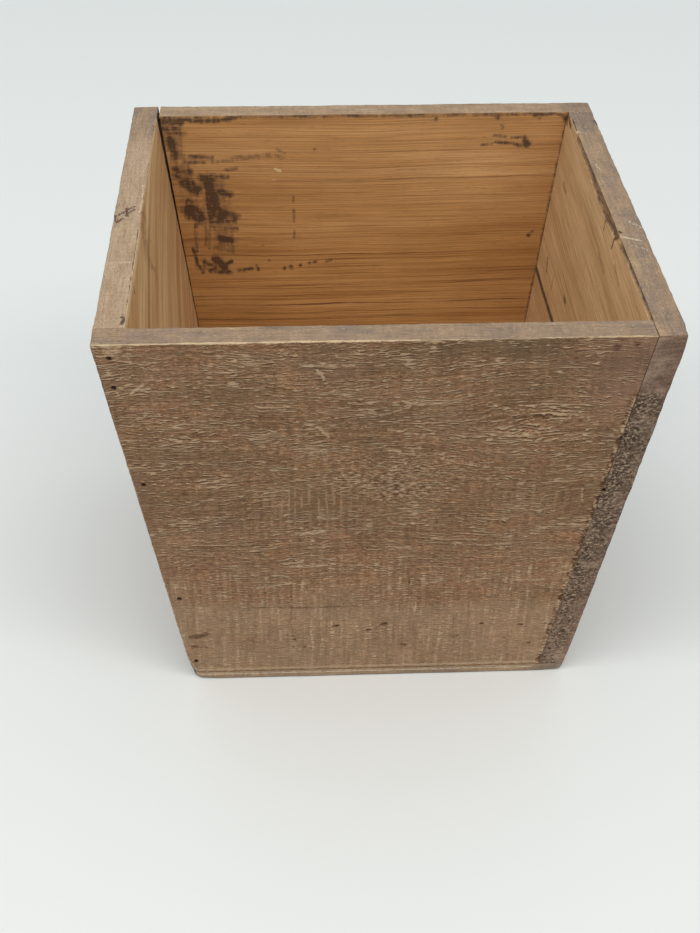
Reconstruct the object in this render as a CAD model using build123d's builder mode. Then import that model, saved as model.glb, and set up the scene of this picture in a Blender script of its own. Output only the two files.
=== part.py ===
from build123d import *

import math
import os

# A square wooden box whose four walls lean outwards, nailed together over a thin base board.
# The origin is the middle of the underside, +Z is up, and the front faces -Y. Millimetres.
# The walls go round as a pinwheel: the left end of each wall, seen from outside, covers the
# end of the wall beside it, so all four are the same board turned by a quarter.

# Outside of the box
top_width = 235.0
foot_width = 178.7
box_height = 205.6

# Boards
board_thickness = 12.62
base_thickness = 5.0
arris_round = 1.0
base_corner_round = 4.0

# The right wall is two boards, edge to edge, whose joint has opened towards the front
joint_height = 121.0
joint_gap_front = 1.5
joint_gap_back = 0.6

# The back board has shrunk away from the left board, most at the rim
corner_gap_rim = 1.1

# Nails, all the same, with their heads punched below the wood
nail_length = 28.0
nail_diameter = 1.3
nail_point = 2.5
head_diameter = 2.0
head_thickness = 1.2
head_sink = 1.0

# Where nails go: distances from the edges of the boards and from each other
low_nail_margin = 8.7
high_nail_margin = 6.9
nail_clearance = 10.0

# Each nail of a corner row: its share of the row's height, then how far in from the corner
# it stands as a share of the board's thickness. The rows are uneven because they are driven by hand.
front_left_row = ((0.0, 0.31), (0.24, 0.39), (0.63, 0.36), (0.92, 0.37), (1.0, 0.49))
back_left_row = ((0.0, 0.42), (0.29, 0.36), (0.58, 0.45), (0.86, 0.4), (1.0, 0.37))
two_nail_row = ((0.0, 0.4), (1.0, 0.44))
three_nail_row = ((0.0, 0.37), (0.46, 0.42), (1.0, 0.39))

# Worked out from the sizes above
lean = math.atan((top_width - foot_width) / 2 / box_height)
wall_run = board_thickness / math.cos(lean)
upper_joint_height = joint_height + joint_gap_front

FRONT, RIGHT, BACK, LEFT = range(4)


def half_width(height):
    """Half of the outside width of the box at a height."""
    return foot_width / 2 + height * math.tan(lean)


def side_plane(side):
    """The plane of the underside, turned so that its -Y points out through a side."""
    return Plane.XY.rotated((0, 0, 90 * side))


def drill(places):
    """Cut a nail's hole at each place out of the board being made."""
    with Locations(*places):
        add(nail_hole.part, mode=Mode.SUBTRACT)


def drive(places):
    """Put a nail at each place in the group being made."""
    with Locations(*places):
        add(nail.part)


def wall_board(side, low, high, nail_places, gap_at_high=0.0):
    """A leaning board between two heights, short at its right end by a gap that opens upwards."""
    level = side_plane(side)
    right_end_lean = math.tan(lean) - gap_at_high / (high - low)
    with BuildPart() as wall:
        with BuildSketch(Plane(origin=(0, 0, 0), x_dir=level.y_dir, z_dir=level.x_dir)):
            with BuildLine():
                Polyline(
                    (-half_width(low), low),
                    (wall_run - half_width(low), low),
                    (wall_run - half_width(high), high),
                    (-half_width(high), high),
                    close=True,
                )
            make_face()
        extrude(amount=half_width(high), both=True)
        left_end = level.from_local_coords((-half_width(low), 0, low))
        right_end = level.from_local_coords((half_width(low) - wall_run, 0, low))
        into_left_end = level.from_local_coords((1, 0, math.tan(lean)))
        out_of_right_end = level.from_local_coords((1, 0, -right_end_lean))
        split(bisect_by=Plane(origin=left_end, z_dir=into_left_end), keep=Keep.TOP)
        split(bisect_by=Plane(origin=right_end, z_dir=out_of_right_end), keep=Keep.BOTTOM)
        middle = (low + high) / 2
        corner = level.from_local_coords((-half_width(middle), -half_width(middle), middle))
        eased = wall.edges().sort_by_distance(corner)[:1]
        if high == box_height:
            along = Axis((0, 0, 0), level.x_dir)
            eased += wall.edges().group_by(Axis.Z)[-1].sort_by(along)[:-1]
        fillet(eased, arris_round)
        drill(nail_places)
    return wall


def corner_nail_places(side, low, high, row):
    """Planes on the outside of a wall near its left end, each with its normal along a nail."""
    first = low + low_nail_margin
    last = high - high_nail_margin
    places = []
    for height_share, inset_share in row:
        height = first + height_share * (last - first)
        half = half_width(height)
        head_centre = side_plane(side).from_local_coords((inset_share * wall_run - half, -half, height))
        inwards = side_plane(side).from_local_coords((0, math.cos(lean), math.sin(lean)))
        places.append(Plane(origin=head_centre, z_dir=inwards))
    return places


def base_nail_places(side):
    """Planes on the underside below the middle of a wall, each with its normal up along the wall."""
    half = half_width(0)
    reach = half - nail_length - nail_clearance
    upwards = side_plane(side).from_local_coords((0, -math.sin(lean), math.cos(lean)))
    places = []
    for along in (-reach, 0.0, reach):
        head_centre = side_plane(side).from_local_coords((along, wall_run / 2 - half, 0))
        places.append(Plane(origin=head_centre, z_dir=upwards))
    return places


def finish(piece, name):
    """Name a finished piece and write it."""
    piece.part.label = name
    export_step(piece.part, f"parts/{name}.step")


# Where the nails of each corner and of the base go
front_left_places = corner_nail_places(FRONT, base_thickness, box_height, front_left_row)
front_right_places = (
    corner_nail_places(RIGHT, base_thickness, joint_height, two_nail_row)
    + corner_nail_places(RIGHT, upper_joint_height, box_height, three_nail_row)
)
back_right_places = (
    corner_nail_places(BACK, base_thickness, joint_height, two_nail_row)
    + corner_nail_places(BACK, upper_joint_height, box_height, two_nail_row)
)
back_left_places = corner_nail_places(LEFT, base_thickness, box_height, back_left_row)
base_places = [base_nail_places(side) for side in (FRONT, RIGHT, BACK, LEFT)]

# One nail, standing on its head with the board's face at height zero
with BuildPart() as nail:
    with BuildSketch(Plane.XZ):
        with BuildLine():
            Polyline(
                (0, head_sink),
                (head_diameter / 2, head_sink),
                (head_diameter / 2, head_sink + head_thickness),
                (nail_diameter / 2, head_sink + head_thickness),
                (nail_diameter / 2, head_sink + nail_length - nail_point),
                (0, head_sink + nail_length),
                close=True,
            )
        make_face()
    revolve(axis=Axis.Z)

# The hole that it leaves: the nail and the punched bore above its head
with BuildPart() as nail_hole:
    add(nail.part)
    with BuildSketch(Plane.XY.offset(-head_sink)):
        Circle(head_diameter / 2)
    extrude(amount=2 * head_sink + head_thickness)

# Front wall, with its left end showing on the left side of the box
front_nails = front_left_places + front_right_places + base_places[FRONT]
front_board = wall_board(FRONT, base_thickness, box_height, front_nails)

# Back wall, open at the rim end of its joint with the left wall
back_nails = back_right_places + back_left_places + base_places[BACK]
back_board = wall_board(BACK, base_thickness, box_height, back_nails, corner_gap_rim)

# Left wall
left_nails = back_left_places + front_left_places + base_places[LEFT]
left_board = wall_board(LEFT, base_thickness, box_height, left_nails)

# Right wall, of a lower and an upper board
right_nails = front_right_places + back_right_places + base_places[RIGHT]
right_lower_board = wall_board(RIGHT, base_thickness, joint_height, right_nails)
right_upper_blank = wall_board(RIGHT, joint_height, box_height, right_nails)

# The upper board is taken off below so that the joint stands open along its length
with BuildPart() as right_upper_board:
    add(right_upper_blank.part)
    with BuildSketch(Plane.YZ):
        with BuildLine():
            Polyline(
                (-top_width / 2, joint_height),
                (-top_width / 2, joint_height + joint_gap_front),
                (top_width / 2, joint_height + joint_gap_back),
                (top_width / 2, joint_height),
                close=True,
            )
        make_face()
    extrude(amount=top_width / 2, mode=Mode.SUBTRACT)

# Thin base board under all four walls, its edges cut to their lean and its corners rubbed round
with BuildPart() as base_board:
    with BuildSketch():
        Rectangle(foot_width + top_width, foot_width + top_width)
    extrude(amount=base_thickness)
    for side in (FRONT, RIGHT, BACK, LEFT):
        foot_edge = side_plane(side).from_local_coords((0, -foot_width / 2, 0))
        outwards = side_plane(side).from_local_coords((0, -1, -math.tan(lean)))
        split(bisect_by=Plane(origin=foot_edge, z_dir=outwards), keep=Keep.BOTTOM)
    fillet(base_board.edges().group_by(Axis.Z)[1], base_corner_round)
    for side in (FRONT, RIGHT, BACK, LEFT):
        drill(base_places[side])

# Nails, one group for each corner and one for the base
with BuildPart() as front_left_nails:
    drive(front_left_places)
with BuildPart() as front_right_nails:
    drive(front_right_places)
with BuildPart() as back_right_nails:
    drive(back_right_places)
with BuildPart() as back_left_nails:
    drive(back_left_places)
with BuildPart() as base_nails:
    for side in (FRONT, RIGHT, BACK, LEFT):
        drive(base_places[side])

os.makedirs("parts", exist_ok=True)
finish(front_board, "front_board")
finish(back_board, "back_board")
finish(left_board, "left_board")
finish(right_lower_board, "right_lower_board")
finish(right_upper_board, "right_upper_board")
finish(base_board, "base_board")
finish(front_left_nails, "front_left_nails")
finish(front_right_nails, "front_right_nails")
finish(back_right_nails, "back_right_nails")
finish(back_left_nails, "back_left_nails")
finish(base_nails, "base_nails")
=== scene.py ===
import bpy
import math
import numpy as np
from mathutils import Matrix, Vector


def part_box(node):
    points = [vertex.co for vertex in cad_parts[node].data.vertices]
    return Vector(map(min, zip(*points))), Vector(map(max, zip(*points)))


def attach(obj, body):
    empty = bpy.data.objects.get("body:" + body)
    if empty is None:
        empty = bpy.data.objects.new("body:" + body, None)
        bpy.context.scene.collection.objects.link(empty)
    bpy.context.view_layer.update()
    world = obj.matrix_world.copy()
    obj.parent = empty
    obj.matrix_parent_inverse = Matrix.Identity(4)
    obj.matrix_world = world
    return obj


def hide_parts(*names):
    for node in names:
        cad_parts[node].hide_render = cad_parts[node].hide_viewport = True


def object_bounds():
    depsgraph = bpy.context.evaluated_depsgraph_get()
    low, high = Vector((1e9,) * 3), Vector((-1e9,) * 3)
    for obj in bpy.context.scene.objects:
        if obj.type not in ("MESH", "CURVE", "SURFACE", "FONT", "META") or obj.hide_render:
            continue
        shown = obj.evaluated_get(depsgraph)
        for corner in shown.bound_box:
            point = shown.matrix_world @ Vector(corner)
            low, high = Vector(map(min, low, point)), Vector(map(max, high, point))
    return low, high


# A square wooden box of nailed boards that lean outwards: sawn and weathered outside, planed inside.
# Shapes are worked out in millimetres and turned into metres when a mesh is made.

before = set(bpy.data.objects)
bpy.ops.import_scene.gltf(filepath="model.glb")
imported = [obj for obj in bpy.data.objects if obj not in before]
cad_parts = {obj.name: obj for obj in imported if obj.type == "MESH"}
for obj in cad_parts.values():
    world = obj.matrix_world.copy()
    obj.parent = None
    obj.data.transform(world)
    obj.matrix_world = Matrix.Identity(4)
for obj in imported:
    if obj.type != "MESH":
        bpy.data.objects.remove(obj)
cad_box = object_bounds()

MM = 0.001

# Sizes of the box, as in its CAD model
TOP_WIDTH = 235.0
FOOT_WIDTH = 178.7
BOX_HEIGHT = cad_box[1].z / MM
BOARD_THICKNESS = 12.62
BASE_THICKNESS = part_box("base_board")[1].z / MM
JOINT_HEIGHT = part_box("right_lower_board")[1].z / MM
JOINT_GAP_FRONT = 1.5
JOINT_GAP_BACK = 0.6
CORNER_GAP_RIM = 1.1
SLOPE = (TOP_WIDTH - FOOT_WIDTH) / 2 / BOX_HEIGHT
WALL_RUN = BOARD_THICKNESS / math.cos(math.atan(SLOPE))

# Where the nails of each row stand: share of the row's height, share of the wall from the corner
LOW_NAIL_MARGIN = 8.7
HIGH_NAIL_MARGIN = 6.9
FRONT_LEFT_ROW = ((0.0, 0.31), (0.24, 0.39), (0.63, 0.36), (0.92, 0.37), (1.0, 0.49))
BACK_LEFT_ROW = ((0.0, 0.42), (0.29, 0.36), (0.58, 0.45), (0.86, 0.4), (1.0, 0.37))
TWO_NAIL_ROW = ((0.0, 0.4), (1.0, 0.44))
THREE_NAIL_ROW = ((0.0, 0.37), (0.46, 0.42), (1.0, 0.39))
BASE_NAIL_MARGIN = 38.0
PIT_RADIUS = 1.05
PIT_DEPTH = 1.3

# Rounding of the edges of a board. Corner sizes are for the front, right, back and left.
WORN_ARRIS = 1.15
BUTT_ARRIS = 0.4
INNER_ARRIS = 0.8
FOOT_CORNER_ROUNDS = (5.2, 1.5, 2.2, 2.2)
FOOT_CORNER_REACH = 16.0
RIM_CORNER_ROUND = 2.2
RIM_CORNER_REACH = 9.0
BASE_ARRIS = 0.8
BASE_TOP_ARRIS = 0.3
BASE_CORNER_ROUNDS = (5.4, 2.4, 3.2, 3.2)
RIM_INSET = 0.2

# The upper board of the right wall comes down to within a lip of the lower one, outside this depth
SEAM_LIP = 0.12
SEAM_DEPTH = 12.2

# Mesh lines: how far the rows at a board's ends keep their distance, and how much coarser the
# large face is that isn't seen
END_REACH = 10.0
COARSE_STEP = 4

# Distance between the marks of the saw's teeth
SAW_PITCH = 3.3

# How far a point has to face a side of its board to be painted as that side
ON_FACE = 0.4

FRONT, RIGHT, BACK, LEFT = range(4)
OUTER, INNER, EDGE, END = range(4)

# Painted layers: dark and pale marks, how torn a sawn face or end is or how washed out a planed
# one, and the tone of the wood
DARK, PALE, TORN, TONE = range(4)


def srgb(red, green, blue):
    """A colour written as 0 to 255, as Blender's linear colour."""
    shares = (red / 255, green / 255, blue / 255)
    return tuple(s / 12.92 if s <= 0.04045 else ((s + 0.055) / 1.055) ** 2.4 for s in shares) + (1.0,)


def smooth(x):
    """A soft step from 0 to 1 as x goes from 0 to 1."""
    x = np.clip(x, 0.0, 1.0)
    return x * x * (3 - 2 * x)


def noise(x, y, seed):
    """Smooth noise from -1 to 1 with about one bump per unit of x and y, the same on every run."""
    size = 128
    table = np.random.default_rng(seed).uniform(-1, 1, (size, size))
    column = np.floor(x).astype(int)
    row = np.floor(y).astype(int)
    across = smooth(x - column)
    up = smooth(y - row)
    left, right, near, far = column % size, (column + 1) % size, row % size, (row + 1) % size
    low = table[left, near] * (1 - across) + table[right, near] * across
    high = table[left, far] * (1 - across) + table[right, far] * across
    return low * (1 - up) + high * up


def half_width(height):
    """Half of the outside width of the box at a height."""
    return FOOT_WIDTH / 2 + height * SLOPE


def hill(x, middle, reach):
    """A soft ridge of height 1."""
    return np.exp(-(((x - middle) / reach) ** 2))


def blob(x, y, middle_x, middle_y, reach_x, reach_y):
    """A soft round hill of height 1."""
    return hill(x, middle_x, reach_x) * hill(y, middle_y, reach_y)


def stripe(x, middle, width, level=1.5):
    """A line across x: full along its middle, then falling off to nothing."""
    return np.clip(level - abs(x - middle) / width, 0, 1)


def lay(marks, layer, *covers):
    """Add covers to a painted layer. Each point keeps the strongest."""
    for cover in covers:
        marks[:, layer] = np.maximum(marks[:, layer], cover)


def paint(x, y, strokes, where):
    """How strongly brush strokes cover each point: full on a stroke's line and half at its edge."""
    cover = np.zeros_like(x)
    for width, strength, *path in strokes:
        xs, ys = path[::2], path[1::2]
        reach = 1.5 * width
        close_x = (x > min(xs) - reach) & (x < max(xs) + reach)
        close_y = (y > min(ys) - reach) & (y < max(ys) + reach)
        near = np.nonzero(where & close_x & close_y)[0]
        distance = np.full(len(near), np.inf)
        starts = list(zip(xs, ys))
        for (ax, ay), (bx, by) in zip(starts, starts[1:] or starts):
            length = max((bx - ax) ** 2 + (by - ay) ** 2, 1e-9)
            share = np.clip(((x[near] - ax) * (bx - ax) + (y[near] - ay) * (by - ay)) / length, 0, 1)
            gap = np.hypot(x[near] - ax - share * (bx - ax), y[near] - ay - share * (by - ay))
            distance = np.minimum(distance, gap)
        cover[near] = np.maximum(cover[near], strength * stripe(distance, 0, width))
    return cover


def short_strokes(seed, count, area, length, width, strength):
    """Short strokes scattered over an area, nearly along the grain."""
    random = np.random.default_rng(seed)
    strokes = []
    for _ in range(count):
        x = random.uniform(area[0], area[1])
        y = random.uniform(area[2], area[3])
        reach = length * random.uniform(0.4, 1.0)
        rise = reach * random.uniform(-0.25, 0.25)
        broad = width * random.uniform(0.8, 1.2)
        strokes.append((broad, strength * random.uniform(0.7, 1.0), x, y, x + reach, y + rise))
    return tuple(strokes)


def grid_lines(length, spacing, finer=(), step=1):
    """Places along a length for the lines of a mesh, closer together at the ends and at finer places."""
    ease = [0.0, 0.3, 0.65, 1.1, 1.7]
    finer_gap, margin, least_gap = 0.35, 0.2, 0.16
    count = max(2, round((length - 2 * ease[-1]) / spacing))
    lines = ease[:-1] + list(np.linspace(ease[-1], length - ease[-1], count + 1))
    lines += [length - e for e in reversed(ease[:-1])]
    for place in finer:
        close = [place + finer_gap * k for k in range(-4, 5)]
        lines = [x for x in lines if not close[0] - margin < x < close[-1] + margin] + close
    lines = sorted(x for x in set(lines) if 0 <= x <= length)
    kept = [lines[0]]
    for x in lines[1:-1]:
        if x - kept[-1] > least_gap and length - x > least_gap:
            kept.append(x)
    kept.append(length)
    while (len(kept) - 1) % step:
        gaps = np.diff(kept)
        widest = int(np.argmax(gaps))
        kept.insert(widest + 1, kept[widest] + gaps[widest] / 2)
    return np.array(kept)


def stretched(place, nominal, actual):
    """A place on a grid of nominal length, on a board of another length, with its ends kept as they are."""
    middle = END_REACH + (place - END_REACH) * (actual - 2 * END_REACH) / (nominal - 2 * END_REACH)
    from_end = actual - (nominal - place)
    return np.where(place < END_REACH, place, np.where(place > nominal - END_REACH, from_end, middle))


class Lattice:
    """The surface of a block cut by three sets of grid lines, with one of its two large faces coarser."""

    def __init__(self, lines, coarse_face):
        nu, nv, nw = (len(x) - 1 for x in lines)
        used = np.zeros((nu + 1, nv + 1, nw + 1), bool)
        used[0], used[-1], used[:, 0], used[:, -1], used[:, :, 0], used[:, :, -1] = (True,) * 6
        fine_face, far, near = (OUTER, nw, 0) if coarse_face == INNER else (INNER, 0, nw)
        inside = used[1:-1, 1:-1, far]
        inside[:] = False
        inside[COARSE_STEP - 1::COARSE_STEP, COARSE_STEP - 1::COARSE_STEP] = True
        number = np.full(used.shape, -1)
        number[used] = np.arange(used.sum())
        i, j, k = np.nonzero(used)
        self.u, self.v, self.w = lines[0][i], lines[1][j], lines[2][k]
        self.quads = []
        self.kinds = []
        self.add_quads(number[:, :, near], fine_face == INNER, fine_face)
        self.add_quads(number[:, -1, :], False, EDGE)
        self.add_quads(number[:, 0, :], True, EDGE)
        self.add_quads(number[0], False, END)
        self.add_quads(number[-1], True, END)
        self.polygons = self.coarse_polygons(number[:, :, far], coarse_face == INNER)
        self.kinds.append(np.full(len(self.polygons), coarse_face))

    def add_quads(self, numbers, turned, kind):
        """Four-sided faces over a sheet of numbered points."""
        corners = [numbers[:-1, :-1], numbers[1:, :-1], numbers[1:, 1:], numbers[:-1, 1:]]
        if turned:
            corners.reverse()
        quads = np.stack([c.ravel() for c in corners], axis=1)
        self.quads.append(quads)
        self.kinds.append(np.full(len(quads), kind))

    def coarse_polygons(self, numbers, turned):
        """Larger faces over a sheet, which take in every point along its border."""
        step = COARSE_STEP
        last_u, last_v = numbers.shape[0] - 1, numbers.shape[1] - 1
        polygons = []
        for u in range(0, last_u, step):
            for v in range(0, last_v, step):
                along_low = range(u, u + step) if v == 0 else [u]
                along_high = range(u + step, u, -1) if v + step == last_v else [u + step]
                up_high = range(v, v + step) if u + step == last_u else [v]
                up_low = range(v + step, v, -1) if u == 0 else [v + step]
                ring = [numbers[a, v] for a in along_low] + [numbers[u + step, b] for b in up_high]
                ring += [numbers[a, v + step] for a in along_high] + [numbers[u, b] for b in up_low]
                polygons.append(ring[::-1] if turned else ring)
        return polygons


# How a layer with one, three or four numbers a point is stored on a mesh
LAYER_KINDS = {1: ("FLOAT", "value"), 3: ("FLOAT_VECTOR", "vector"), 4: ("FLOAT_COLOR", "color")}


def new_mesh(name, points, lattice, layers):
    """A smooth closed mesh with layers stored on its points."""
    quads = np.concatenate(lattice.quads)
    loops = np.concatenate([quads.ravel()] + [np.array(p) for p in lattice.polygons])
    sizes = np.concatenate([np.full(len(quads), 4), [len(p) for p in lattice.polygons]])
    starts = np.concatenate([[0], np.cumsum(sizes)[:-1]])
    mesh = bpy.data.meshes.new(name)
    mesh.vertices.add(len(points))
    mesh.vertices.foreach_set("co", (points * MM).ravel())
    mesh.loops.add(len(loops))
    mesh.loops.foreach_set("vertex_index", loops)
    mesh.polygons.add(len(starts))
    mesh.polygons.foreach_set("loop_start", starts)
    mesh.polygons.foreach_set("material_index", np.concatenate(lattice.kinds))
    mesh.polygons.foreach_set("use_smooth", np.ones(len(starts), bool))
    mesh.update(calc_edges=True)
    mesh.validate()
    for layer, values in layers.items():
        kind, field = LAYER_KINDS[values.size // len(points)]
        mesh.attributes.new(layer, kind, "POINT").data.foreach_set(field, values.ravel())
    return mesh


def rounded(place, limits, radii):
    """Round a block's edges: where each point goes, and how far it faces along each axis, from -1 to 1."""
    moved, pulls = [], []
    for at, (low, high), (low_radius, high_radius) in zip(place, limits, radii):
        pull = np.maximum(1 - (high - at) / high_radius, 0) - np.maximum(1 - (at - low) / low_radius, 0)
        pulls.append(pull)
    size = np.sqrt(sum(p**2 for p in pulls))
    for at, pull, (low_radius, high_radius) in zip(place, pulls, radii):
        moved.append(at + np.where(pull < 0, low_radius, high_radius) * (pull / size - pull))
    return moved, [p / size for p in pulls]


def sides_faced(face_u, face_v, face_w, at_rim):
    """How squarely each point faces out of each side of its board, from 0 to 1."""
    return {
        OUTER: np.minimum(face_w, 0) ** 2,
        INNER: np.maximum(face_w, 0) ** 2,
        EDGE: np.maximum(face_v, 0) ** 2 * at_rim,
        END: np.minimum(face_u, 0) ** 2,
    }


def turn(points, side):
    """Points of a wall that faces the front, turned to the side that the wall is on."""
    x, y = points[:, 0].copy(), points[:, 1].copy()
    for _ in range(side):
        x, y = -y, x
    return np.stack([x, y, points[:, 2]], axis=1)


def corner_nails(low, high, row):
    """Distance from the left end and height of each nail of a corner row."""
    first = low + LOW_NAIL_MARGIN
    last = high - HIGH_NAIL_MARGIN
    return [(inset * WALL_RUN, first + share * (last - first)) for share, inset in row]


def sink_nail(distance, inward, marks, facing):
    """The pit over a nail, dark down to its bottom and round its mouth."""
    reach = distance / PIT_RADIUS
    pit = np.clip((0.95 - reach) / 0.3, 0, 1) * facing[OUTER]
    inward[OUTER] = np.maximum(inward[OUTER], PIT_DEPTH * pit)
    lay(marks, DARK, np.clip(1.75 - reach, 0, 1) * facing[OUTER])


def wall_points(side, low_left, low_right, high, nails, fine_face, spacing):
    """The lattice of a wall board, where its points are before its edges are rounded, and its limits."""
    gap = CORNER_GAP_RIM if side == BACK else 0.0
    length = 2 * half_width(high) - WALL_RUN - gap
    rise = high - (low_left + low_right) / 2
    finer_u = sorted({round(inset / 1.2) * 1.2 for inset, height in nails})
    finer_v = [height - low_left for inset, height in nails]
    lines = (
        grid_lines(length, spacing[0], finer_u, COARSE_STEP),
        grid_lines(rise, spacing[1], finer_v, COARSE_STEP),
        grid_lines(WALL_RUN, spacing[2]),
    )
    lattice = Lattice(lines, INNER if fine_face == OUTER else OUTER)
    low = low_left + (low_right - low_left) * lattice.u / length
    if low_left > JOINT_HEIGHT:
        low = low - (low - JOINT_HEIGHT - SEAM_LIP) * smooth((SEAM_DEPTH - lattice.w) / 1.5)
    v = low + stretched(lattice.v, rise, high - low)
    left = -half_width(v)
    opening = gap * ((v - BASE_THICKNESS) / (BOX_HEIGHT - BASE_THICKNESS)) ** 2.3
    right = half_width(v) - WALL_RUN - opening
    u = left + stretched(lattice.u, length, right - left)
    place = dict(
        u=u, v=v, w=lattice.w, to_left=u - left, to_right=right - u, to_low=v - low, to_high=high - v
    )
    return lattice, place, ((left, right), (low, high), (0.0, WALL_RUN))


def wall_radii(side, place, at_rim, at_foot):
    """Radii of a wall's edges: worn where they are open, small where boards meet, large at the foot."""
    u, v, depth = place["u"], place["v"], place["w"] / WALL_RUN
    to_left, to_low, to_high = place["to_left"], place["to_low"], place["to_high"]
    wear = 1 + 0.2 * noise(u / 11 + 7 * side, v / 9, 11) + 0.3 * noise(u / 3.1, v / 2.7 + 5 * side, 12)
    outer_extra = WORN_ARRIS * wear - BUTT_ARRIS
    inner_extra = INNER_ARRIS * wear - BUTT_ARRIS
    corner = at_foot * np.clip(1 - to_low / FOOT_CORNER_REACH, 0, 1) ** 2 * FOOT_CORNER_ROUNDS[side]
    if side == RIGHT:
        corner = corner + at_rim * RIM_CORNER_ROUND * (1 - smooth(to_high / RIM_CORNER_REACH))
    open_edge = smooth((place["to_right"] - 1) / 5) * smooth((to_low - 1) / 4)
    if not at_rim:
        open_edge = open_edge * smooth(to_high / 4)
    near_left = 1 - smooth((to_left - 5) / 5)
    near_rim = at_rim * (1 - smooth((to_high - 3) / 3)) * (to_left > WALL_RUN + 2)
    butt = np.full_like(u, BUTT_ARRIS)
    round_left = butt + (outer_extra + corner) * (1 - depth)
    round_high = butt + at_rim * (outer_extra * (1 - depth) + inner_extra * depth)
    round_outer = butt + outer_extra * open_edge + corner * near_left
    round_inner = butt + inner_extra * near_rim
    return (round_left, butt), (butt, round_high), (round_outer, round_inner)


def wall(name, side, low_left, low_right, high, nails, fine_face, spacing, look):
    """A leaning board with rounded, worn edges, its surface moved in by the board's own look."""
    lattice, place, limits = wall_points(side, low_left, low_right, high, nails, fine_face, spacing)
    at_rim = float(high == BOX_HEIGHT)
    at_foot = float(low_left == BASE_THICKNESS)
    radii = wall_radii(side, place, at_rim, at_foot)
    (u, v, w), faces = rounded((place["u"], place["v"], place["w"]), limits, radii)
    place.update(u=u, v=v, w=w)
    facing = sides_faced(*faces, at_rim)
    arris = 4 * facing[OUTER] * facing[EDGE]
    corner = facing[OUTER] * facing[END]
    worn = 0.8 * corner + 1.2 * facing[INNER] * facing[EDGE]
    if side == FRONT:
        worn += arris * (1.25 - 0.45 * smooth((u + 40) / 70)) + 1.8 * corner * smooth((168 - v) / 10)

    # Paint the board, with painted shade in its inner corner and along its outer arris on all but the
    # rubbed front
    inward, grain, marks = look(place, facing)
    if side != BACK:
        in_corner = place["to_left"] < WALL_RUN - 0.4 + 1.4 * smooth((v - 110) / 60)
        in_corner = in_corner & (facing[INNER] > 0.1)
        marks[:, DARK] = np.where(in_corner, 0.95 - 0.35 * smooth((165 - v) / 50), marks[:, DARK])
    if side != FRONT:
        lay(marks, DARK, 0.62 * smooth(1.6 * arris - 0.3))

    # Move its surface in
    near_top = (1 - smooth(place["to_high"] / 4)) * at_rim
    inward[OUTER] = inward[OUTER] * (1 - 0.5 * near_top) + RIM_INSET * near_top
    inward[END] += RIM_INSET * near_top
    for inset, height in nails:
        sink_nail(np.hypot(place["to_left"] - inset, v - height), inward, marks, facing)
    w = w + inward[OUTER] * facing[OUTER] - inward[INNER] * facing[INNER]
    v = v - inward[EDGE] * facing[EDGE]
    u = u + inward[END] * facing[END]
    points = turn(np.stack([u, w - half_width(v), v], axis=1), side)
    return new_mesh(name, points, lattice, dict(grain, marks=marks, worn=worn))


def sawn_relief(u, ring, v, seed, ripple):
    """Depth of a sawn face below its highest fibres."""
    broad = 0.14 + 0.12 * noise(u / 45, v / 22, seed)
    torn = 0.07 * np.maximum(noise(u / 5.5, ring / 1.7, seed + 1), 0)
    torn += 0.07 * np.maximum(noise(u / 14, ring / 3.1, seed + 2), 0)
    phase = u / SAW_PITCH + 0.5 * noise(u / 9, v / 30, seed + 3)
    saw = (0.03 + 0.15 * ripple) * (0.5 + 0.5 * np.sin(2 * math.pi * phase))
    return broad + torn + saw


def planed_relief(u, ring, v, seed):
    """Depth of a planed face: nearly flat, with the soft rings a little lower."""
    return 0.05 + 0.04 * noise(u / 60, v / 18, seed) + 0.03 * noise(u / 90, ring / 2.6, seed + 1)


def rim_relief(u, w, seed):
    """Depth of the sawn upper edge of a board."""
    broad = 0.16 + 0.14 * noise(u / 26, w / 9, seed)
    fine = 0.06 * noise(u / 5, w / 1.1, seed + 1) + 0.05 * noise(u / 1.7, w / 5, seed + 2)
    return np.maximum(broad + fine, 0)


def end_relief(v, w, seed, rough):
    """Depth of an end grain face: rough where the saw tore it."""
    bundles = np.maximum(noise(v / 1.7, w / 1.5, seed), 0)
    bundles += 0.7 * np.maximum(noise(v, w / 0.9, seed + 1), 0)
    return 0.08 + 0.06 * noise(v / 14, w / 6, seed + 2) + (0.05 + 0.45 * rough) * bundles


def wavy(u, v, seed):
    """Grain that wanders up and down a little."""
    return 3.0 * noise(u / 85, v / 45, seed) + 0.8 * noise(u / 26, v / 14, seed + 1)


def surface(place, seed, flow, inner_flow, ripple, rough):
    """Relief, grain and unmarked marks of a board whose grain follows the two flows."""
    u, v, w = place["u"], place["v"], place["w"]
    inward = {
        OUTER: sawn_relief(u, v + flow, v, seed + 10, ripple),
        INNER: planed_relief(u, v + inner_flow, v, seed + 20),
        EDGE: rim_relief(u, w, seed + 30),
        END: end_relief(v, w, seed + 40, rough),
    }
    offset = 1000.0 * (seed % 7)
    depth = 0.9 * w - 0.03 * (w - 4) ** 2
    along, inwards = u + offset, w + 0.1 * offset
    grain = {
        "fibre": np.stack([along, v + flow + depth + offset, inwards], axis=1),
        "inner_fibre": np.stack([along, v + inner_flow + offset, inwards], axis=1),
    }
    marks = np.zeros((len(u), 4))
    marks[:, TONE] = 0.5
    return inward, grain, marks


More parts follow.
